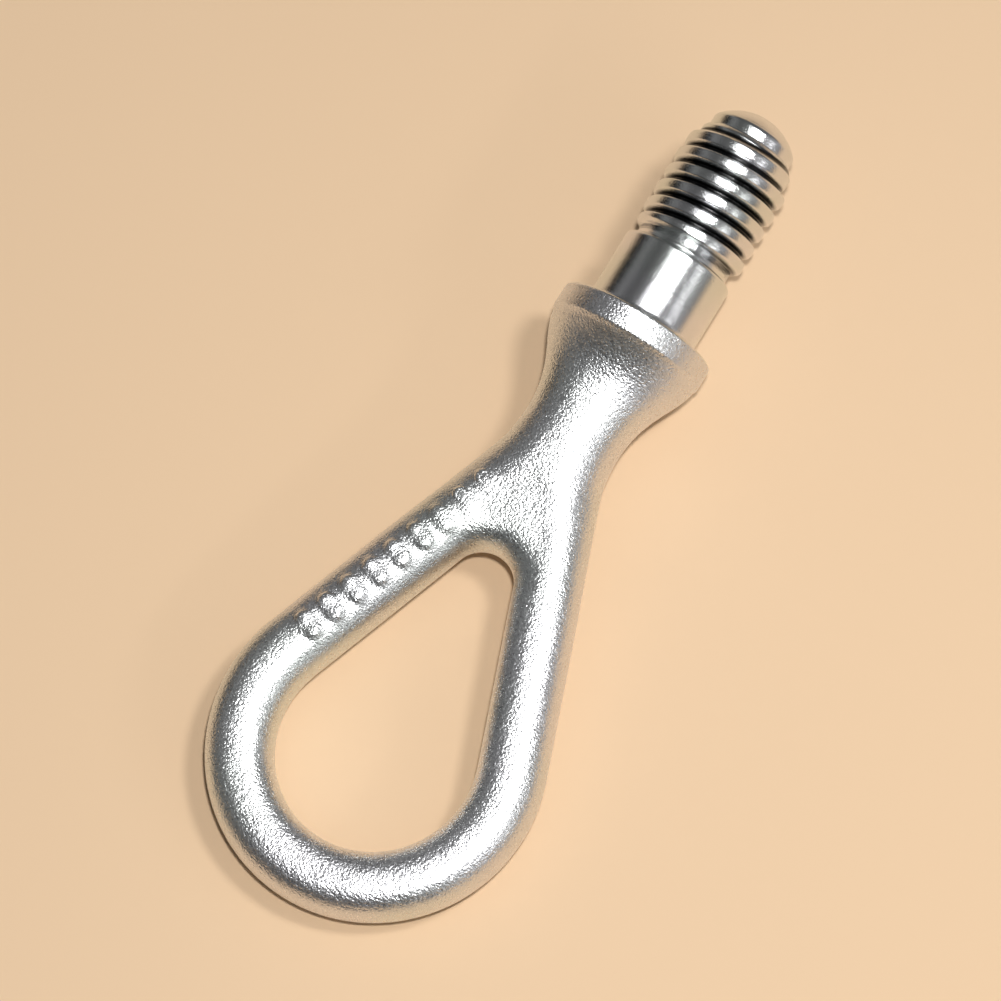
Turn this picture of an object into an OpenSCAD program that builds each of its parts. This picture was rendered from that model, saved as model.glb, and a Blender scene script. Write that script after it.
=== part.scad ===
// Screw-in tow eye: a teardrop loop of round bar, a neck, a collar, a plain shank and a coarse thread.
// The forging is one solid. Its own axis runs along Y with the centre of the loop's round end at zero.
// It is then tipped onto the two places it lies on, the loop's end and the collar's back edge.

/* [Loop] */
// Thickness of the round bar that makes the loop
bar_d = 12.2; // [10:0.1:14]
// Radius of the bar's centre line round the closed end
loop_r = 24.2; // [21:0.1:28]
// Angle of each leg to the eye's axis
leg_angle = 20.4; // [17:0.1:24]
// Radius of the opening where the legs meet
crotch_r = 6.1; // [5:0.1:8]

/* [Neck] */
// Distance from the loop's centre to the narrowest place
waist_y = 66; // [60:0.5:70]
// Width across the narrowest place
waist_w = 18.4; // [17:0.1:22]
// Thickness at the narrowest place
waist_t = 15.8; // [13:0.1:18]

/* [Collar] */
// Distance from the loop's centre to the collar's front face
collar_y = 88.8; // [84:0.1:96]
// Diameter of the collar
collar_d = 29.6; // [26:0.1:34]
// Thickness of the collar's rim
collar_t = 5; // [3.5:0.1:6]
// Rounding of the rim's two edges
collar_edge = 0.8; // [0.4:0.1:1.2]

/* [Shank] */
// Diameter of the plain shank
shank_d = 21; // [20:0.1:22]
// Length of the plain shank
shank_l = 14; // [10:0.1:20]
// Radius of the hollow corner between the shank and the collar
shank_fillet = 1.4; // [0.8:0.1:2]
// Rounding of the shank's end
shank_edge = 0.9; // [0.4:0.1:1.4]
// Diameter of the short groove before the thread
relief_d = 18; // [17.8:0.1:18.6]
// Length of that groove
relief_l = 2.1; // [1.5:0.1:4]

/* [Thread] */
// Diameter over the thread
thread_d = 21; // [20:0.1:22]
// Rise of the thread in one turn, right-handed
pitch = 3.5; // [3:0.1:4]
// Depth of the thread
thread_depth = 1.6; // [1.5:0.05:1.8]
// Length of the threaded stretch
thread_l = 21.8; // [14:0.1:26]
// Length of the taper that starts the thread at the tip
lead_l = 4.8; // [3:0.1:7]
// Length of the plain rounded tip
tip_l = 6.1; // [5.5:0.1:9]
// Diameter of the tip where the thread ends
tip_d = 16.2; // [15:0.1:17.4]
// Radius of the dome at the very end
dome_r = 10.5; // [9.6:0.1:14]
// Rounding between the tip's side and the dome
tip_edge = 1.2; // [0.8:0.1:1.5]

/* [Marks] */
// Number of plain raised pads along one leg
mark_count = 9; // [3:1:9]
// Length of a pad across the leg
mark_w = 5.2; // [3:0.1:6]
// Width of a pad along the leg
mark_l = 2.4; // [1.5:0.1:3]
// Distance between pads
mark_gap = 5; // [4:0.1:5.4]
// Height of a pad over the bar
mark_h = 0.35; // [0.2:0.05:0.6]

/* [Hidden] */
$fn = 96;
STEEL = [0.72, 0.73, 0.74];

// Bar and legs
bar_r = bar_d / 2;
leg_foot = [loop_r * cos(leg_angle), loop_r * sin(leg_angle)];
leg_end_y = waist_y - 4;
leg_r = bar_r - 0.02;
leg_start = -0.5;
leg_l = (leg_end_y - leg_foot[1]) / cos(leg_angle);

// Arc that closes the opening between the legs: a slightly thinner bar, so it rises cleanly out of them
crotch_bar = bar_r - 0.2;
crotch_sink = 0.15;
crotch_y = (loop_r - bar_r - crotch_r) / sin(leg_angle);
crotch_path_r = crotch_r + crotch_sink + crotch_bar;

// Places along the axis
rim_y = collar_y - collar_t;
shank_y = collar_y + shank_l;
thread_y = shank_y + relief_l;
thread_end = thread_y + thread_l;
tip_y = thread_end + tip_l;
collar_r = collar_d / 2;
root_r = thread_d / 2 - thread_depth;

// Half the thickness of the loft where it leaves the crotch, and how far it starts inside the legs
loft_y = crotch_y + crotch_r + crotch_bar - 1;
loft_inset = 0.6;

// Tilt at which the loop's end and the rim's back edge both touch the ground
tip_arm = rim_y + collar_edge + loop_r;
tip_drop = collar_r - collar_edge;
tip_rise = bar_r - collar_edge;
tilt = atan2(tip_drop, tip_arm) - asin(tip_rise / norm([tip_arm, tip_drop]));
lift = loop_r * sin(tilt) + bar_r;

// The two ends of the length as it lies
y_low = -loop_r * cos(tilt) - bar_r;
y_high = (tip_y - dome_r) * cos(tilt) + dome_r;

// Points round a loft section and steps along the loft and the thread
LOFT_N = 48;
LOFT_STEPS = 26;
TURN_N = 36;

// Half-width of the straight legs' outer edges at a place along the axis
function leg_edge(y) = (loop_r - y * sin(leg_angle) + bar_r) / cos(leg_angle);

// Point of a cubic curve through four numbers
function cubic(p, t) = pow(1 - t, 3) * p[0] + 3 * t * pow(1 - t, 2) * p[1]
    + 3 * t * t * (1 - t) * p[2] + pow(t, 3) * p[3];

// The neck below the waist: it starts inside the legs, bulges past them and narrows to the waist
low_y = [loft_y, loft_y + 9, waist_y - 10, waist_y];
low_w = [leg_edge(loft_y) - loft_inset, leg_edge(loft_y + 9) + 0.7, waist_w / 2 + 0.5, waist_w / 2];
low_h = [bar_r - 0.45, bar_r + 0.5, waist_t / 2, waist_t / 2];
low_side = [bar_r, bar_r + 1, waist_w / 2, waist_w / 2];

// The flare from the waist to the collar: oval at the waist and round at the collar
flare_r = collar_r - 0.35;
high_y = [waist_y, waist_y + 10, rim_y - 4.8, rim_y + 0.4];
high_w = [waist_w / 2, waist_w / 2 - 0.1, flare_r, flare_r];
high_h = [waist_t / 2, waist_t / 2 + 0.1, waist_t / 2 + 1.9, flare_r];

// One section: a round-ended slot whose ends are half ellipses
function section(y, w, h, side) = [
    for (i = [0 : LOFT_N - 1])
        let (a = 360 * (i + 0.5) / LOFT_N, s = cos(a) > 0 ? 1 : -1)
            [s * (w - side) + side * cos(a), y, h * sin(a)]
];
low_rings = [
    for (k = [0 : LOFT_STEPS / 2])
        let (t = 2 * k / LOFT_STEPS)
            section(cubic(low_y, t), cubic(low_w, t), cubic(low_h, t), cubic(low_side, t))
];
high_rings = [
    for (k = [1 : LOFT_STEPS / 2])
        let (t = 2 * k / LOFT_STEPS, w = cubic(high_w, t))
            section(cubic(high_y, t), w, cubic(high_h, t), w)
];
last_ring = [section(rim_y + 1.6, flare_r - 0.8, flare_r - 0.8, flare_r - 0.8)];

// Closed skin over a list of rings that all have the same number of points
module skin(rings) {
    n = len(rings[0]);
    m = len(rings);
    points = [for (r = rings) each r];
    sides = [
        for (k = [0 : m - 2], i = [0 : n - 1])
            let (j = (i + 1) % n)
                each [
                    [k * n + i, (k + 1) * n + j, (k + 1) * n + i],
                    [k * n + i, k * n + j, (k + 1) * n + j]
                ]
    ];
    foot = [[for (i = [n - 1 : -1 : 0]) i]];
    head = [[for (i = [0 : n - 1]) (m - 1) * n + i]];
    polyhedron(points, concat(foot, sides, head), convexity = 4);
}

// Turns a shape drawn along Z so that it stands along the eye's axis
module along_axis(y) {
    translate([0, y, 0]) rotate([-90, 0, 0]) children();
}

// The closed end, both legs and the arc between them
module loop() {
    rotate([0, 0, 180 - leg_angle])
        rotate_extrude(angle = 180 + 2 * leg_angle) translate([loop_r, 0]) circle(bar_r);
    for (side = [0, 1])
        mirror([side, 0, 0])
            translate([leg_foot[0], leg_foot[1], 0])
                rotate([-90, 0, leg_angle])
                    translate([0, 0, leg_start]) cylinder(r = leg_r, h = leg_l - leg_start);
    translate([0, crotch_y, 0])
        rotate([0, 0, leg_angle])
            rotate_extrude(angle = 180 - 2 * leg_angle) translate([crotch_path_r, 0]) circle(crotch_bar);
}

// Plain raised pads along one leg
module marks() {
    start = (leg_l - (mark_count - 1) * mark_gap) / 2 - 4;
    bar_half = (mark_w - mark_l) / 2;
    translate([-leg_foot[0], leg_foot[1], 0])
        rotate([0, 0, -leg_angle])
            for (i = [0 : mark_count - 1])
                translate([0, start + i * mark_gap, 0]) {
                    for (s = [-1, 1])
                        translate([s * bar_half, 0, 0]) cylinder(r = mark_l / 2, h = bar_r + mark_h);
                    translate([-bar_half, -mark_l / 2, 0]) cube([2 * bar_half, mark_l, bar_r + mark_h]);
                }
}

// The rim of the collar, a disc with two rounded edges
module collar() {
    flat = collar_t - 2 * collar_edge;
    along_axis(rim_y)
        rotate_extrude() {
            square([collar_r - collar_edge, collar_t]);
            translate([0, collar_edge]) square([collar_r, flat]);
            for (z = [collar_edge, collar_t - collar_edge])
                translate([collar_r - collar_edge, z]) circle(collar_edge);
        }
}

// The plain shank with a hollow corner at the collar and a rounded end, and the groove beyond it
module shank() {
    r = shank_d / 2;
    hollow = r + shank_fillet;
    along_axis(collar_y - 1)
        rotate_extrude() {
            square([r, shank_l + 1 - shank_edge]);
            square([r - shank_edge, shank_l + 1]);
            translate([r - shank_edge, shank_l + 1 - shank_edge]) circle(shank_edge);
            difference() {
                square([hollow, 1 + shank_fillet]);
                translate([hollow, 0.98 + shank_fillet]) circle(shank_fillet);
                translate([r - 0.02, 0.98 + shank_fillet]) square(shank_fillet + 1);
            }
        }
    along_axis(shank_y - 1) cylinder(d = relief_d, h = relief_l + 1.6);
}

// The tip beyond the thread: a short plain stretch, a rounded corner and a low dome
module tip() {
    r = tip_d / 2;
    dome_c = tip_y - dome_r - thread_end;
    corner = [r - tip_edge, sqrt(pow(dome_r - tip_edge + 0.03, 2) - pow(r - tip_edge, 2))];
    along_axis(thread_end)
        rotate_extrude() {
            translate([0, -0.5]) square([r, dome_c + corner[1] + 0.5]);
            translate([corner[0], dome_c + corner[1]]) circle(tip_edge);
            intersection() {
                translate([0, dome_c]) circle(dome_r);
                translate([0, dome_c]) polygon([[0, 0], 2 * corner, [0, 2 * dome_r]]);
            }
        }
}

// Outline of the thread over one pitch: place along the axis and height over the root
crest = 0.42 * pitch;
flank = 0.27 * pitch;
PROFILE = [
    [-crest / 2 - flank, 0],
    [-crest / 2 - 0.3 * flank, thread_depth * 0.86],
    [-crest / 2 + 0.25 * flank, thread_depth],
    [crest / 2 - 0.25 * flank, thread_depth],
    [crest / 2 + 0.3 * flank, thread_depth * 0.86],
    [crest / 2 + flank, 0]
];

// A screw longer than the thread, made of one band that winds round and joins its own next turn
module screw() {
    turns = ceil(thread_l / pitch) + 2;
    steps = turns * TURN_N;
    n = len(PROFILE);
    first_y = thread_y - 1.64 * pitch;
    points = [
        for (i = [0 : steps], p = PROFILE)
            let (a = 360 * i / TURN_N, r = root_r + p[1])
                [r * sin(a), first_y + pitch * i / TURN_N + p[0], r * cos(a)]
    ];
    foot = len(points);
    head = foot + 1;
    band = [
        for (i = [0 : steps - 1], j = [0 : n - 2])
            let (q = i * n + j)
                each [[q, q + 1, q + n + 1], [q, q + n + 1, q + n]]
    ];
    joint = [
        for (i = [0 : steps - TURN_N - 1])
            let (q = i * n + n - 1, up = (i + TURN_N) * n)
                each [[q, up, up + n], [q, up + n, q + n]]
    ];
    foot_cap = concat(
        [for (i = [0 : TURN_N - 1]) [foot, i * n, (i + 1) * n]],
        [for (j = [0 : n - 2]) [foot, j + 1, j]],
        [[foot, TURN_N * n, n - 1]]
    );
    far = steps - TURN_N;
    head_cap = concat(
        [for (i = [far : steps - 1]) [head, (i + 1) * n + n - 1, i * n + n - 1]],
        [for (j = [0 : n - 2]) [head, steps * n + j, steps * n + j + 1]],
        [[head, far * n + n - 1, steps * n]]
    );
    ends = [[0, first_y, 0], [0, first_y + pitch * turns, 0]];
    polyhedron(concat(points, ends), concat(band, joint, foot_cap, head_cap), convexity = 20);
}

// The screw cut to length, with a short bevel at the groove and a longer lead at the tip
module thread() {
    over = thread_d / 2 + 0.2;
    lead_r = tip_d / 2 + 0.4;
    intersection() {
        screw();
        along_axis(thread_y)
            rotate_extrude()
                polygon([
                    [0, 0],
                    [root_r + 0.7, 0],
                    [over, 0.9],
                    [over, thread_l - lead_l],
                    [lead_r, thread_l],
                    [lead_r - 0.7, thread_l + 0.6],
                    [0, thread_l + 0.6]
                ]);
    }
}

// The whole forging along its own axis
module forging() {
    loop();
    marks();
    skin(concat(low_rings, high_rings, last_ring));
    collar();
    shank();
    thread();
    tip();
}

module tow_eye() {
    color(STEEL)
        translate([0, -(y_low + y_high) / 2, lift])
            rotate([tilt, 0, 0])
                forging();
}

tow_eye();
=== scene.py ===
# %% [markdown]
# A screw-in tow eye: one steel forging, zinc plated, with a thread turned on its end.
# The forging comes from hammering a hot bar between two shaped dies. The collar's front,
# the shank and the thread are cut afterwards, so they are smooth where the rest is grainy.
# The CAD model gives the form. Here it gets a finer skin, a grain and its light.

# %% Load the frame
import math
import bpy
import bmesh
from mathutils import Matrix, Quaternion, Vector


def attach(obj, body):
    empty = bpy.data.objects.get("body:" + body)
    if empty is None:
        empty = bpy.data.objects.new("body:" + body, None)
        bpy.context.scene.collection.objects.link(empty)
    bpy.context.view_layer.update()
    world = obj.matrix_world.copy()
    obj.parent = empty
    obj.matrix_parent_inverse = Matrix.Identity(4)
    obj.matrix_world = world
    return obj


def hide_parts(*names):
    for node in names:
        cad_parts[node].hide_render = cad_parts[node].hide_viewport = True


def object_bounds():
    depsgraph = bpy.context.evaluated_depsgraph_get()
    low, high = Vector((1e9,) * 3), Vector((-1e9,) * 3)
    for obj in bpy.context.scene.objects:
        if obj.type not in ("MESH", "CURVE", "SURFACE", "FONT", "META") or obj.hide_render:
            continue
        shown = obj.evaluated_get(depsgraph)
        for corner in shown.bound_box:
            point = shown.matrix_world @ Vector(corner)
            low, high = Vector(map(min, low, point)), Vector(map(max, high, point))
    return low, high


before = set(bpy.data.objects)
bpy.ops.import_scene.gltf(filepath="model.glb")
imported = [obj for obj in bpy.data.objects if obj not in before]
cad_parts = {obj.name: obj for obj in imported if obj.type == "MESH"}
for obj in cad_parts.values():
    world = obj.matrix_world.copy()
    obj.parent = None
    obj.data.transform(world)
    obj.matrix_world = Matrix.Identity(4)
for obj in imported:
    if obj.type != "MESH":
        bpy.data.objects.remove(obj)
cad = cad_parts["tow_eye"]
cad_bounds = [list(corner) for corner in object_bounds()]
print("CAD box", [[round(v * 1000, 2) for v in corner] for corner in cad_bounds])

# %% [markdown]
# The sizes below are those of the CAD model, in millimetres along the eye's own axis.
# That axis starts at the centre of the loop's round end and runs towards the tip.
# The eye lies on the loop's end and on the back edge of the collar, so its axis
# is tipped up a little. One matrix takes the eye's own axis to the place where it lies.

# %% Sizes and the resting place
MM = 0.001
LOOP_R = 24.2
BAR_R = 6.1
WAIST_Y = 66.0
LEG_ANGLE = math.radians(20.4)
COLLAR_Y = 88.8
COLLAR_R = 14.8
COLLAR_T = 5.0
COLLAR_EDGE = 0.8
SHANK_R = 10.5
SHANK_L = 14.0
SHANK_FILLET = 1.4
SHANK_EDGE = 0.9
RELIEF_R = 9.0
RELIEF_L = 2.1
THREAD_R = 10.5
THREAD_DEPTH = 1.6
THREAD_L = 21.8
THREAD_LEAD = 4.8
PITCH = 3.5
TIP_R = 8.1
TIP_L = 6.1
TIP_EDGE = 1.2
DOME_R = 10.5
RIM_Y = COLLAR_Y - COLLAR_T
SHANK_END = COLLAR_Y + SHANK_L
THREAD_Y = SHANK_END + RELIEF_L
THREAD_END = THREAD_Y + THREAD_L
TIP_Y = THREAD_END + TIP_L

arm = RIM_Y + COLLAR_EDGE + LOOP_R
drop = COLLAR_R - COLLAR_EDGE
tilt = math.atan2(drop, arm) - math.asin((BAR_R - COLLAR_EDGE) / math.hypot(arm, drop))
lift = LOOP_R * math.sin(tilt) + BAR_R
lowest_y = -LOOP_R * math.cos(tilt) - BAR_R
shift = cad_bounds[0][1] / MM - lowest_y
REST = Matrix.Translation((0, shift * MM, lift * MM)) @ Matrix.Rotation(tilt, 4, "X")
print("tilt", round(math.degrees(tilt), 2), "lift", round(lift, 2), "shift", round(shift, 2))


def mesh_object(name, points, faces, material_index=0):
    """A smooth-shaded mesh from points in millimetres along the eye's own axis."""
    mesh = bpy.data.meshes.new(name)
    mesh.from_pydata([(x * MM, y * MM, z * MM) for x, y, z in points], [], faces)
    mesh.update()
    for face in mesh.polygons:
        face.use_smooth = True
        face.material_index = material_index
    thing = bpy.data.objects.new(name, mesh)
    bpy.context.scene.collection.objects.link(thing)
    return thing


def apply_modifiers(thing):
    """Turns an object's modifiers into plain mesh."""
    graph = bpy.context.evaluated_depsgraph_get()
    mesh = bpy.data.meshes.new_from_object(thing.evaluated_get(graph))
    thing.modifiers.clear()
    thing.data = mesh
    return thing

# %% [markdown]
# The forged skin. A die leaves no sharp lines where the legs run into the neck: the metal
# flows round every corner. The CAD form is cut off at the collar, covered with a new even
# skin and rubbed smooth, a little everywhere and more where the legs meet the neck.
# A voxel remesh was chosen because it gives small faces of one size all over, which the
# next two steps can push and rub. Its step is as fine as the triangle limit lets it be.

# %% The forged loop and neck
SKIN_STEP = 0.5
CUT_PAST_RIM = 1.6
forged = bpy.data.objects.new("forged_skin", cad.data.copy())
bpy.context.scene.collection.objects.link(forged)
forged.data.transform(REST.inverted())
shape = bmesh.new()
shape.from_mesh(forged.data)
bmesh.ops.remove_doubles(shape, verts=shape.verts, dist=2e-6)
cut_y = (RIM_Y + CUT_PAST_RIM) * MM
bmesh.ops.bisect_plane(
    shape,
    geom=shape.verts[:] + shape.edges[:] + shape.faces[:],
    plane_co=(0, cut_y, 0),
    plane_no=(0, 1, 0),
    clear_outer=True,
)
rim_edges = [e for e in shape.edges if e.is_boundary]
bmesh.ops.holes_fill(shape, edges=rim_edges, sides=0)
shape.to_mesh(forged.data)
open_edges = len([e for e in shape.edges if e.is_boundary])
shape.free()
print("forging cut at the collar, open edges left:", open_edges)

skin = forged.modifiers.new("even_skin", "REMESH")
skin.mode = "VOXEL"
skin.voxel_size = SKIN_STEP * MM
skin.use_smooth_shade = True
apply_modifiers(forged)

# %% [markdown]
# A die does not press a perfectly round bar: the top and the bottom come out a little
# flatter and the shoulders a little fuller. Each point is pushed away from the middle of
# its section, most at the shoulders and not at all on top and at the sides.

# %% Fuller shoulders
FULLNESS = 2.4
BAR_FADES = (36, 50)
NECK_STARTS = (54, 64)
NECK_ENDS = (74, 81)
NECK_SHARE = 0.8


def fuller(across, up, share):
    """How many times further from the middle a point moves, by the direction it lies in."""
    far = max(1e-6, math.hypot(across, up))
    reach = (abs(across / far) ** FULLNESS + abs(up / far) ** FULLNESS) ** (-1 / FULLNESS)
    return 1 + share * (reach - 1)


def fade(value, start, end):
    """0 before start, 1 after end and a straight rise between them."""
    return max(0.0, min(1.0, (value - start) / (end - start)))


def between(table, y):
    """A measure at y, from a table that holds one for each millimetre of the axis."""
    low = math.floor(y)
    here = table.get(low, 1.0)
    share = y - low
    return (1 - share) * here + share * table.get(low + 1, here)


half_width, half_height = {}, {}
for vertex in forged.data.vertices:
    slice_y = round(vertex.co.y / MM)
    half_width[slice_y] = max(half_width.get(slice_y, 1.0), abs(vertex.co.x / MM))
    half_height[slice_y] = max(half_height.get(slice_y, 1.0), abs(vertex.co.z / MM))
most = 0.0
for vertex in forged.data.vertices:
    x, y, z = vertex.co / MM
    side = math.copysign(1, x)
    if y > abs(x) * math.tan(LEG_ANGLE):
        outward = Vector((side * math.cos(LEG_ANGLE), math.sin(LEG_ANGLE)))
    else:
        outward = Vector((x, y)).normalized()
    off = outward.dot(Vector((x, y))) - LOOP_R
    on_bar = 1 - fade(y, *BAR_FADES)
    on_neck = NECK_SHARE * fade(y, *NECK_STARTS) * (1 - fade(y, *NECK_ENDS))
    bar = fuller(off, z, on_bar)
    neck = fuller(x / between(half_width, y), z / between(half_height, y), on_neck)
    move = outward * off * (bar - 1)
    pushed = Vector((x * neck + move.x, y + move.y, z * bar * neck))
    most = max(most, (pushed - Vector((x, y, z))).length)
    vertex.co = pushed * MM
print("fuller shoulders, pushed out by up to", round(most, 2), "mm")

# %% [markdown]
# Rubbing the skin smooth takes away the steps of the CAD facets, and more of it rounds the
# hollow where the legs meet the neck. Vertex groups say how much each point takes part:
# the rim of the cut stays where it is, so that the turned collar fits on it.

# %% Rub it smooth
CROTCH_Y = 53
CROTCH_REACH = 16
everywhere = forged.vertex_groups.new(name="everywhere")
blend = forged.vertex_groups.new(name="blend")
for vertex in forged.data.vertices:
    y = vertex.co.y / MM
    near_rim = 1 - fade(y, RIM_Y - 2.5, RIM_Y - 1.0)
    crotch = max(0.0, 1 - abs(y - CROTCH_Y) / CROTCH_REACH) * near_rim
    everywhere.add([vertex.index], near_rim, "REPLACE")
    blend.add([vertex.index], min(1.0, 1.6 * crotch), "REPLACE")
for group, rounds in (("everywhere", 4), ("blend", 28)):
    rub = forged.modifiers.new("rub_" + group, "SMOOTH")
    rub.factor = 0.5
    rub.iterations = rounds
    rub.vertex_group = group
apply_modifiers(forged)
print("forged skin", len(forged.data.polygons), "faces")

# %% [markdown]
# The turned end. A lathe cuts the collar's front, the shank, the groove before the thread
# and the rounded tip, so each is an outline turned about the axis. The outline is walked
# in small steps where it is rounded. The collar's rim is round too and comes with them,
# but it is left as it was forged, so its faces take the grainy finish.

# %% The collar, the shank, the groove and the tip
def arc(cy, cr, radius, start, end, steps):
    """Points of a rounding in an outline, as (place along the axis, radius)."""
    found = []
    for i in range(steps + 1):
        a = math.radians(start + (end - start) * i / steps)
        found.append((cy + radius * math.sin(a), cr + radius * math.cos(a)))
    return found


def lathe(name, outline, around=160):
    """Turns an outline about the axis."""
    points = []
    for y, r in outline:
        for i in range(around):
            a = 2 * math.pi * i / around
            points.append((r * math.sin(a), y, r * math.cos(a)))
    faces = []
    for k in range(len(outline) - 1):
        for i in range(around):
            j = (i + 1) % around
            a, b = k * around, (k + 1) * around
            faces.append((a + i, b + i, b + j, a + j))
    faces.append(tuple(range(around)))
    faces.append(tuple((len(outline) - 1) * around + i for i in reversed(range(around))))
    return mesh_object(name, points, faces, 1)


edge_r = COLLAR_R - COLLAR_EDGE
rim = [(RIM_Y + 0.02, 9.0), (RIM_Y + 0.02, edge_r - 2)]
rim += arc(RIM_Y + COLLAR_EDGE, edge_r, COLLAR_EDGE, -90, 0, 10)
rim += arc(COLLAR_Y - COLLAR_EDGE, edge_r, COLLAR_EDGE, 0, 90, 10)
rim += arc(COLLAR_Y + SHANK_FILLET, SHANK_R + SHANK_FILLET, SHANK_FILLET, -90, -180, 12)
rim += [(COLLAR_Y + 0.5 * SHANK_L, SHANK_R), (SHANK_END - SHANK_EDGE - 0.05, SHANK_R)]
rim += arc(SHANK_END - SHANK_EDGE, SHANK_R - SHANK_EDGE, SHANK_EDGE, 0, 80, 10)
rim += [(SHANK_END, RELIEF_R + 0.35), (SHANK_END + 0.1, RELIEF_R + 0.1)]
rim += [(SHANK_END + 0.4, RELIEF_R)]
rim += [(THREAD_Y + 0.5, RELIEF_R)]
turned = lathe("turned_shank", rim)
for face in turned.data.polygons:
    if face.center.y / MM < COLLAR_Y - 0.5 * COLLAR_EDGE:
        face.material_index = 0
print("turned shank", len(turned.data.polygons), "faces")

dome_y = TIP_Y - DOME_R
corner_r = TIP_R - TIP_EDGE
corner_y = math.sqrt((DOME_R - TIP_EDGE) ** 2 - corner_r ** 2)
turn = math.degrees(math.atan2(corner_y, corner_r))
tip = [(THREAD_END - 0.6, TIP_R), (THREAD_END + 0.4, TIP_R), (dome_y + corner_y - 0.05, TIP_R)]
tip += arc(dome_y + corner_y, corner_r, TIP_EDGE, 0, turn, 8)
tip += arc(dome_y, 0, DOME_R, turn + 3, 89, 14)
nose = lathe("turned_tip", tip)
print("turned tip", len(nose.data.polygons), "faces")

# %% [markdown]
# The thread. One ridge winds up the bar, right-handed, 3.5 mm a turn. Rows of points follow
# the ridge, so its edges stay clean. Each row that leaves one side of the seam meets
# the row one turn further on. The crest is rounded as a rolled thread's is. Towards the
# groove and towards the tip the whole ridge gets lower by the place of its own crest,
# so that the last turn fades out instead of being cut off. TOP_CREST_Y is where a crest
# passes over the top of the bar, counted from the axis' start and less whole turns.

# %% The thread
ROWS_PER_TURN = 24
AROUND = 144
TOP_CREST_Y = 1.16
ROOT_FROM = 0.49
FLANK = 0.27
CREST_TO = 0.22
CREST_SOFT = 0.16
CREST_DROP = 0.03
LEAD_STEP = 0.4
FIRST_ROW = -ROWS_PER_TURN * 2
LAST_ROW = ROWS_PER_TURN * 8


def ridge(share):
    """Height of the thread over its root, from 0 to 1, at a share of the pitch from the crest."""
    d = abs((share + 0.5) % 1.0 - 0.5)
    rise = (ROOT_FROM - d) / FLANK
    corner = math.sqrt((1 - rise) ** 2 + CREST_SOFT ** 2) - (rise - 1) - CREST_SOFT
    crown = CREST_DROP * (d / CREST_TO) ** 2 if d < CREST_TO else 0.0
    return max(0.0, min(1.0, 1 - 0.5 * corner)) - crown


def start_radius(y):
    """Radius of the cone on which the thread starts behind the groove."""
    return THREAD_R - 0.9 + 1.1 * (y - THREAD_Y) / 0.9


def top_radius(y):
    """Radius that the ridge's top reaches when that top lies at y."""
    lead_rise = THREAD_R - 0.2 - TIP_R
    lead = TIP_R + LEAD_STEP + lead_rise * (THREAD_END - y) / THREAD_LEAD
    return min(THREAD_R, start_radius(y), lead)


def limit(y):
    """Largest radius anything of the thread can have at a place along the axis."""
    if y < THREAD_Y:
        return RELIEF_R - 0.25
    if y > THREAD_END:
        return max(TIP_R - 0.25, TIP_R + LEAD_STEP - 1.15 * (y - THREAD_END))
    return min(start_radius(y), TIP_R + LEAD_STEP + 0.7 * (THREAD_END - y))


points, rows = [], LAST_ROW - FIRST_ROW
phase = THREAD_Y - (THREAD_Y - TOP_CREST_Y) % PITCH
for k in range(rows + 1):
    along = (FIRST_ROW + k) / ROWS_PER_TURN
    for i in range(AROUND):
        a = 2 * math.pi * i / AROUND
        y = phase + PITCH * (along + i / AROUND)
        top_y = phase + PITCH * (round(along) + i / AROUND)
        height = max(0.0, top_radius(top_y) - THREAD_R + THREAD_DEPTH)
        r = min(THREAD_R - THREAD_DEPTH + height * ridge(along), limit(y))
        points.append((r * math.sin(a), y, r * math.cos(a)))
faces = []
for k in range(rows):
    for i in range(AROUND - 1):
        a, b = k * AROUND + i, (k + 1) * AROUND + i
        faces.append((a, b, b + 1, a + 1))
for k in range(rows - ROWS_PER_TURN):
    a, b = k * AROUND + AROUND - 1, (k + 1) * AROUND + AROUND - 1
    c = (k + ROWS_PER_TURN) * AROUND
    faces.append((a, b, c + AROUND, c))
thread = mesh_object("cut_thread", points, faces, 1)
clean = bmesh.new()
clean.from_mesh(thread.data)
kept_from, kept_to = THREAD_Y - 0.8, THREAD_END + 1.2
spare = [v for v in clean.verts if not kept_from < v.co.y / MM < kept_to]
bmesh.ops.delete(clean, geom=spare, context="VERTS")
clean.to_mesh(thread.data)
clean.free()
print("thread", len(thread.data.polygons), "faces")

# %% [markdown]
# The raised pads on one leg. The die had a row of shallow pockets there, and each left
# a soft-edged pad on the forging. They are plain, with rounded ends. Each pad is a stack
# of rings that lie on the bar: the lowest is sunk a little into it, and they rise and
# draw in along a quarter of a wave, which gives the soft edge.

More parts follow.
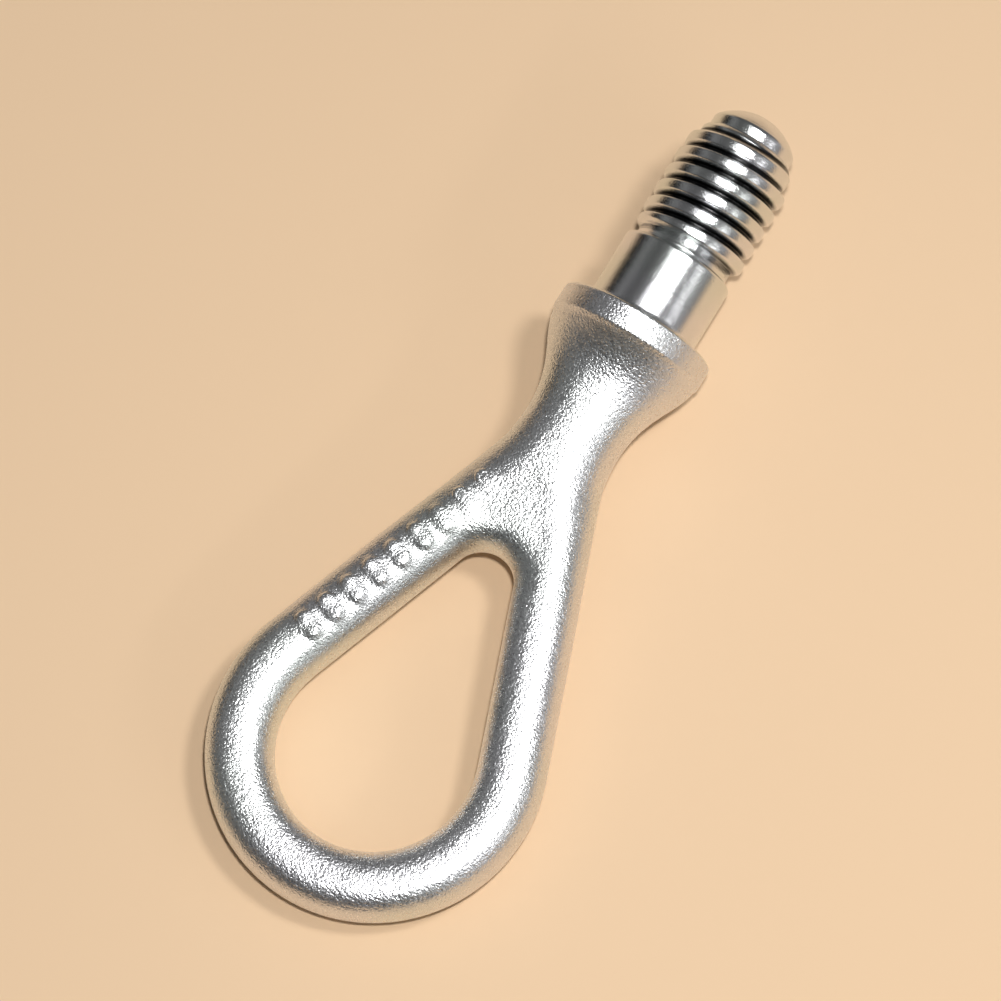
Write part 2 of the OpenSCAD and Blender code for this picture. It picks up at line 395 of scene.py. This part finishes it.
# %% The pads on the leg
MARKS = 9
MARK_W = 5.2
MARK_L = 2.4
MARK_GAP = 5.0
MARK_H = 0.35
MARK_SINK = 0.06
MARK_SKIRT = 0.512
MARK_TOP_R = MARK_L / 2 - 0.22
MARK_TAPER = 0.25
MARK_SHIFT = 4.0
LEG_STOP = 4.0
foot = Vector((-LOOP_R * math.cos(LEG_ANGLE), LOOP_R * math.sin(LEG_ANGLE), 0))
leg_l = (WAIST_Y - LEG_STOP - foot.y) / math.cos(LEG_ANGLE)
first = (leg_l - (MARKS - 1) * MARK_GAP) / 2 - MARK_SHIFT
leg_turn = Matrix.Rotation(-LEG_ANGLE, 3, "Z")
points, faces = [], []
COLUMNS, RINGS = 36, 7
half = (MARK_W - MARK_L) / 2
for m in range(MARKS):
    centre = first + m * MARK_GAP
    base = len(points)
    for ring in range(RINGS):
        t = ring / (RINGS - 1)
        height = MARK_H * math.sin(t * math.pi / 2) - MARK_SINK
        radius = MARK_TOP_R + MARK_SKIRT * math.cos(t * math.pi / 2) - MARK_TAPER * t
        for i in range(COLUMNS):
            a = 2 * math.pi * i / COLUMNS
            x = math.copysign(half, math.cos(a)) + radius * math.cos(a)
            y = centre + radius * math.sin(a)
            bar_top = BAR_R * (1 - abs(x / BAR_R) ** FULLNESS) ** (1 / FULLNESS)
            p = leg_turn @ Vector((x, y, bar_top + height)) + foot
            points.append(tuple(p))
    for ring in range(RINGS - 1):
        for i in range(COLUMNS):
            j = (i + 1) % COLUMNS
            a, b = base + ring * COLUMNS, base + (ring + 1) * COLUMNS
            faces.append((a + i, a + j, b + j, b + i))
    top = base + (RINGS - 1) * COLUMNS
    faces.append(tuple(top + i for i in range(COLUMNS)))
pads = mesh_object("raised_pads", points, faces, 0)
print("raised pads", MARKS, "with", len(pads.data.polygons), "faces")

# %% [markdown]
# The pieces of skin are joined into one, because the real eye is a single forging.

# %% Join the skins
for thing in (forged, turned, nose, thread, pads):
    thing.data.transform(REST)
whole = bmesh.new()
for thing in (forged, turned, nose, thread, pads):
    whole.from_mesh(thing.data)
joined = bpy.data.meshes.new("tow_eye_skin")
whole.to_mesh(joined)
triangles = sum(len(f.verts) - 2 for f in whole.faces)
whole.free()
for thing in (forged, turned, nose, thread, pads):
    bpy.data.objects.remove(thing)
eye = bpy.data.objects.new("tow_eye_skin", joined)
bpy.context.scene.collection.objects.link(eye)
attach(eye, "root")
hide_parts("tow_eye")
print("joined skin", triangles, "triangles")

# %% [markdown]
# The finish. Bright zinc lies over everything. On the forged skin it follows the grain
# that shot blasting left, pits and bumps of about half a millimetre. Two noises make it,
# one coarse and one twice as fine, and a third and much wider one makes shallow dents.
# Together they are the height of a Bump node, because real grain this small would take
# millions of faces. The coarse noise also makes the pits a little duller than the bumps.

# %% Helpers for shader groups
ZINC_TINTS = ((0.35, (0.72, 0.75, 0.73, 1)), (0.65, (0.76, 0.76, 0.78, 1)))


def surface_group(name):
    """An empty shader group that takes a depth and gives a normal, a roughness and a tint."""
    group = bpy.data.node_groups.new(name, "ShaderNodeTree")
    depth = group.interface.new_socket("Depth", in_out="INPUT", socket_type="NodeSocketFloat")
    depth.default_value = 1.0
    for label, kind in (("Normal", "Vector"), ("Roughness", "Float"), ("Tint", "Color")):
        group.interface.new_socket(label, in_out="OUTPUT", socket_type="NodeSocket" + kind)
    return group, group.nodes.new("NodeGroupInput"), group.nodes.new("NodeGroupOutput")


def add(tree, kind, **values):
    """A node with its settings and its socket values, which are given by socket name."""
    node = tree.nodes.new(kind)
    for key, value in values.items():
        if hasattr(node, key):
            setattr(node, key, value)
        else:
            node.inputs[key.replace("_", " ")].default_value = value
    return node


def noise(tree, source, **values):
    """The level of a noise that is laid over the coordinates of a socket."""
    texture = add(tree, "ShaderNodeTexNoise", **values)
    tree.links.new(source, texture.inputs["Vector"])
    return texture.outputs["Fac"]


def work_out(tree, operation, *terms):
    """The result of a Math node, of which each term is a number or a socket."""
    node = add(tree, "ShaderNodeMath", operation=operation)
    for term, socket in zip(terms, node.inputs):
        if isinstance(term, (int, float)):
            socket.default_value = term
        else:
            tree.links.new(term, socket)
    return node.outputs[0]


def map_level(tree, level, low, high, to_low, to_high):
    """A level from low to high, stretched to the range from to_low to to_high."""
    ranges = {"From_Min": low, "From_Max": high, "To_Min": to_low, "To_Max": to_high}
    node = add(tree, "ShaderNodeMapRange", **ranges)
    tree.links.new(level, node.inputs["Value"])
    return node.outputs["Result"]


def zinc_tint(tree, level):
    """Zinc's colour, which wanders a little between greenish and bluish grey with a level."""
    ramp = add(tree, "ShaderNodeValToRGB")
    for element, (position, color) in zip(ramp.color_ramp.elements, ZINC_TINTS):
        element.position = position
        element.color = color
    tree.links.new(level, ramp.inputs["Fac"])
    return ramp.outputs["Color"]


def bumped(tree, group_in, height, distance):
    """The normal of a surface with bumps, as deep as the group's Depth says."""
    bump = add(tree, "ShaderNodeBump", Distance=distance)
    tree.links.new(group_in.outputs["Depth"], bump.inputs["Strength"])
    tree.links.new(height, bump.inputs["Height"])
    return bump.outputs["Normal"]

# %% The blasted grain
grain, grain_in, grain_out = surface_group("BlastedGrain")
where = add(grain, "ShaderNodeTexCoord").outputs["Object"]
coarse = noise(grain, where, Scale=2100.0, Detail=1.0, Roughness=0.5)
fine = noise(grain, where, Scale=4200.0, Detail=1.0, Roughness=0.5)
dents = noise(grain, where, Scale=260.0, Detail=2.0)
pits = work_out(grain, "MULTIPLY_ADD", fine, 0.35, coarse)
pits = work_out(grain, "MULTIPLY_ADD", dents, 1.2, pits)
grain.links.new(bumped(grain, grain_in, pits, 0.00012), grain_out.inputs["Normal"])
dull = map_level(grain, coarse, 0.3, 0.7, 0.26, 0.36)
grain.links.new(dull, grain_out.inputs["Roughness"])
wander = noise(grain, where, Scale=45.0, Detail=1.0)
grain.links.new(zinc_tint(grain, wander), grain_out.inputs["Tint"])
print(grain.name, len(grain.nodes), "nodes")

# %% [markdown]
# The turned end has a mark of its making and a painted shade. A cutting tool leaves fine
# rings round the axis, so a Mapping node first turns the coordinates onto the eye's own axis
# and squeezes the pattern along the bar. The roots of the thread are painted dark: painted
# shade that stands in for the shadow deep in the groove. Its darkness is worked out from the
# helix itself: the place along the axis, less the share of a turn round it, says how far a
# point is from the nearest crest.

# %% The tool marks
SQUEEZE = 0.02
marks, marks_in, marks_out = surface_group("ToolMarksAndRootShade")
where = add(marks, "ShaderNodeTexCoord").outputs["Object"]
rings = add(marks, "ShaderNodeMapping", vector_type="TEXTURE")
rings.inputs["Location"].default_value = (0, shift * MM, lift * MM)
rings.inputs["Rotation"].default_value = (tilt, 0, 0)
rings.inputs["Scale"].default_value = (1, SQUEEZE, 1)
marks.links.new(where, rings.inputs["Vector"])
lines = noise(marks, rings.outputs["Vector"], Scale=60.0, Detail=2.0)
speck = noise(marks, where, Scale=2600.0, Detail=3.0, Roughness=0.7)
scratches = work_out(marks, "MULTIPLY_ADD", speck, 0.8, lines)
marks.links.new(bumped(marks, marks_in, scratches, 0.00005), marks_out.inputs["Normal"])
polish = map_level(marks, speck, 0.3, 0.7, 0.14, 0.22)
marks.links.new(polish, marks_out.inputs["Roughness"])
wander = noise(marks, where, Scale=110.0, Detail=1.0)
tint = zinc_tint(marks, wander)

# %% Painted shade in the thread's roots
# Painted shade: the tint darkens towards each root of the thread, down to a share of 0.06.
ROOT_SHADE_FROM, ROOT_SHADE_FULL, ROOT_SHADE_LEVEL = 0.31, 0.41, 0.06
ROOT_SHADE_FADE = 0.4
axis_parts = add(marks, "ShaderNodeSeparateXYZ")
marks.links.new(rings.outputs["Vector"], axis_parts.inputs[0])
x_part, y_part, z_part = axis_parts.outputs
angle = work_out(marks, "ARCTAN2", x_part, z_part)
wind = work_out(marks, "MULTIPLY_ADD", angle, -1 / (2 * math.pi), -TOP_CREST_Y / PITCH)
turns = work_out(marks, "MULTIPLY_ADD", y_part, SQUEEZE / (PITCH * MM), wind)
from_crest = work_out(marks, "PINGPONG", turns, 0.5)
clear = map_level(marks, from_crest, ROOT_SHADE_FROM, ROOT_SHADE_FULL, 1.0, ROOT_SHADE_LEVEL)
thread_middle = (THREAD_Y + THREAD_END) / 2 * MM / SQUEEZE
aside = work_out(marks, "ABSOLUTE", work_out(marks, "SUBTRACT", y_part, thread_middle))
thread_half = THREAD_L / 2 * MM / SQUEEZE
fade_start = (THREAD_L / 2 - ROOT_SHADE_FADE) * MM / SQUEEZE
beyond = map_level(marks, aside, fade_start, thread_half, 0.0, 1.0)
bright = work_out(marks, "MAXIMUM", clear, beyond)
# The zinc's tint is scaled by the painted root shade, which fades out at both ends of the thread.
root_shaded_tint = add(marks, "ShaderNodeVectorMath", operation="SCALE")
marks.links.new(tint, root_shaded_tint.inputs[0])
marks.links.new(bright, root_shaded_tint.inputs["Scale"])
marks.links.new(root_shaded_tint.outputs[0], marks_out.inputs["Tint"])
print(marks.name, len(marks.nodes), "nodes")

# %% [markdown]
# Both finishes are the same metal. The Principled shader stays in each material, and the
# group only tells it how the surface lies, how rough it is and what tint it has.

# %% The two finishes
def zinc(name, group, depth):
    """Bright zinc over the surface that a group describes."""
    material = bpy.data.materials.new(name)
    material.use_nodes = True
    tree = material.node_tree
    shader = tree.nodes["Principled BSDF"]
    surface = tree.nodes.new("ShaderNodeGroup")
    surface.node_tree = group
    surface.inputs["Depth"].default_value = depth
    shader.inputs["Metallic"].default_value = 1.0
    tree.links.new(surface.outputs["Tint"], shader.inputs["Base Color"])
    tree.links.new(surface.outputs["Roughness"], shader.inputs["Roughness"])
    tree.links.new(surface.outputs["Normal"], shader.inputs["Normal"])
    return material


eye.data.materials.append(zinc("zinc_on_forging", grain, 1.0))
eye.data.materials.append(zinc("zinc_on_turning", marks, 1.0))
print("finishes", [m.name for m in eye.data.materials])

# %% [markdown]
# The studio is a plain pale floor under a camera that looks down on the eye at the
# photograph's viewing angle. The camera's place and turn come from lining the CAD model
# up with the outline in the photograph.

# %% Floor and camera
ground = bpy.data.meshes.new("floor")
ground.from_pydata([(-3, -3, 0), (3, -3, 0), (3, 3, 0), (-3, 3, 0)], [], [(0, 1, 2, 3)])
floor = bpy.data.objects.new("floor", ground)
bpy.context.scene.collection.objects.link(floor)
paper = bpy.data.materials.new("pale_floor")
paper.use_nodes = True
tree = paper.node_tree
shader = tree.nodes["Principled BSDF"]
shader.inputs["Base Color"].default_value = (0.80, 0.575, 0.37, 1)
shader.inputs["Roughness"].default_value = 0.9
shader.inputs["Specular IOR Level"].default_value = 0.2
floor.data.materials.append(paper)

CAMERA_AT = Vector((0.257654, -0.280084, 1.090146))
CAMERA_TURN = Quaternion((0.949579, 0.150082, 0.0791, 0.263663))
camera = bpy.data.objects.new("camera", bpy.data.cameras.new("camera"))
camera.rotation_mode = "QUATERNION"
camera.location = CAMERA_AT
camera.rotation_quaternion = CAMERA_TURN
camera.data.sensor_width = 36
camera.data.lens = 233.77
camera.data.clip_start = 0.05
camera.data.clip_end = 20
bpy.context.scene.collection.objects.link(camera)
bpy.context.scene.camera = camera
print("camera", round(CAMERA_AT.length, 3), "m from the eye, lens", round(camera.data.lens), "mm")

# %% [markdown]
# The light. A small lamp near the camera makes the crisp dark lines under the edges, and
# one beside it, a little larger, the soft shadow to the left. The wide white core on the
# metal is the mirror image of a large panel. That panel lights only shiny surfaces: if it
# lit the floor as well, it would wash both shadows out. A thin strip low on the right
# draws the second line on the shank.

# %% The lamps
def lamp(name, spot, size, watts, high=None):
    """A soft lamp that faces the middle of the part: round, or a strip when it has a height."""
    data = bpy.data.lights.new(name, "AREA")
    data.shape = "RECTANGLE" if high else "DISK"
    data.size = size
    if high:
        data.size_y = high
    data.energy = watts
    thing = bpy.data.objects.new(name, data)
    thing.location = spot
    thing.rotation_mode = "QUATERNION"
    thing.rotation_quaternion = (-Vector(spot)).to_track_quat("-Z", "Y")
    thing.visible_camera = False
    bpy.context.scene.collection.objects.link(thing)
    return thing


panel = lamp("lamp_over", (0.15, 0.04, 0.85), 0.8, 3.5, high=0.28)
panel.visible_diffuse = False
lamp("lamp_near_camera", (0.19, -0.147, 0.89), 0.045, 5.0)
lamp("lamp_beside", (0.31, 0.18, 0.85), 0.15, 2.6)
lamp("lamp_right", (0.75, -0.06, 0.49), 0.62, 0.56, high=0.05)

# %% [markdown]
# The room is dim and not even, and the metal shows it: dark at the far left, a lighter
# wall on the right and a darker one behind the loop. Two ramps give the world's level by
# direction, one across the part and one along it, and their product is the room.

# %% The room
world = bpy.data.worlds.new("room")
bpy.context.scene.world = world
world.use_nodes = True
tree = world.node_tree
sky = tree.nodes["Background"]
outlook = tree.nodes.new("ShaderNodeTexCoord")
ways = tree.nodes.new("ShaderNodeSeparateXYZ")
tree.links.new(outlook.outputs["Generated"], ways.inputs[0])


def levels(way, steps):
    """Brightness of the room along one axis, from steps of (direction from -1 to 1, level)."""
    shade = tree.nodes.new("ShaderNodeValToRGB")
    shade.color_ramp.elements.remove(shade.color_ramp.elements[1])
    start_level = steps[0][1]
    shade.color_ramp.elements[0].color = (start_level, start_level, start_level, 1)
    for toward, level in steps[1:]:
        stop = shade.color_ramp.elements.new((toward + 1) / 2)
        stop.color = (level, level, level, 1)
    share = map_level(tree, ways.outputs[way], -1, 1, 0, 1)
    tree.links.new(share, shade.inputs["Fac"])
    return shade.outputs["Color"]


sideways = levels("X", (
    (-1, 0.01), (-0.93, 0.015), (-0.88, 0.14), (-0.83, 0.22), (-0.74, 0.16),
    (-0.62, 0.08), (-0.3, 0.1), (0.3, 0.15), (0.6, 0.15), (0.74, 0.34),
    (0.92, 0.4), (0.97, 0.22), (1, 0.1),
))
lengthways = levels("Y", ((-1, 0.4), (-0.7, 0.6), (-0.4, 1), (1, 1)))
room_light = tree.nodes.new("ShaderNodeVectorMath")
room_light.operation = "MULTIPLY"
tree.links.new(sideways, room_light.inputs[0])
tree.links.new(lengthways, room_light.inputs[1])
tree.links.new(room_light.outputs[0], sky.inputs["Color"])
sky.inputs["Strength"].default_value = 1.0

bpy.context.scene.view_settings.view_transform = "Standard"
print("room", world.name, "with", len(tree.nodes), "nodes")
